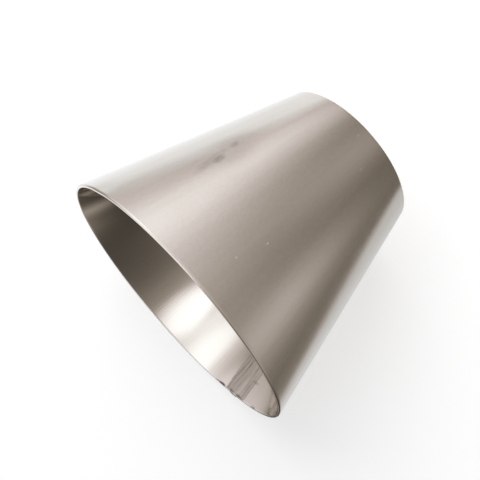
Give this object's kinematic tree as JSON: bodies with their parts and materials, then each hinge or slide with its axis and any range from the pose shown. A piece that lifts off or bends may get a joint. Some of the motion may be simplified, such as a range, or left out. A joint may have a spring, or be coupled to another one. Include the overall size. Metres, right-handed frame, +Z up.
{
  "type": "eccentric reducer",
  "caption": "Thin-walled butt-weld eccentric pipe reducer: a straight-sided offset cone with one side square to both ends, open square-cut ends and a welded longitudinal seam, lying on its steep side.",
  "frame": {"origin": "centre of the large end's face", "axes": "+X along the steep side that the part lies on, from the large end to the small end, +Z up, +Y across; the flow runs from the large end towards +X and 34.6 degrees downwards"},
  "size_m": [0.2494, 0.219, 0.1803],
  "materials": {
    "sheet_metal": "pickled and planished satin titanium, warm grey",
    "weld_metal": "weld bead, ground flush inside and rippled outside"
  },
  "bodies": {
    "root": {"cone_shell": "sheet_metal", "seam_weld": "weld_metal"}
  },
  "joints": []
}
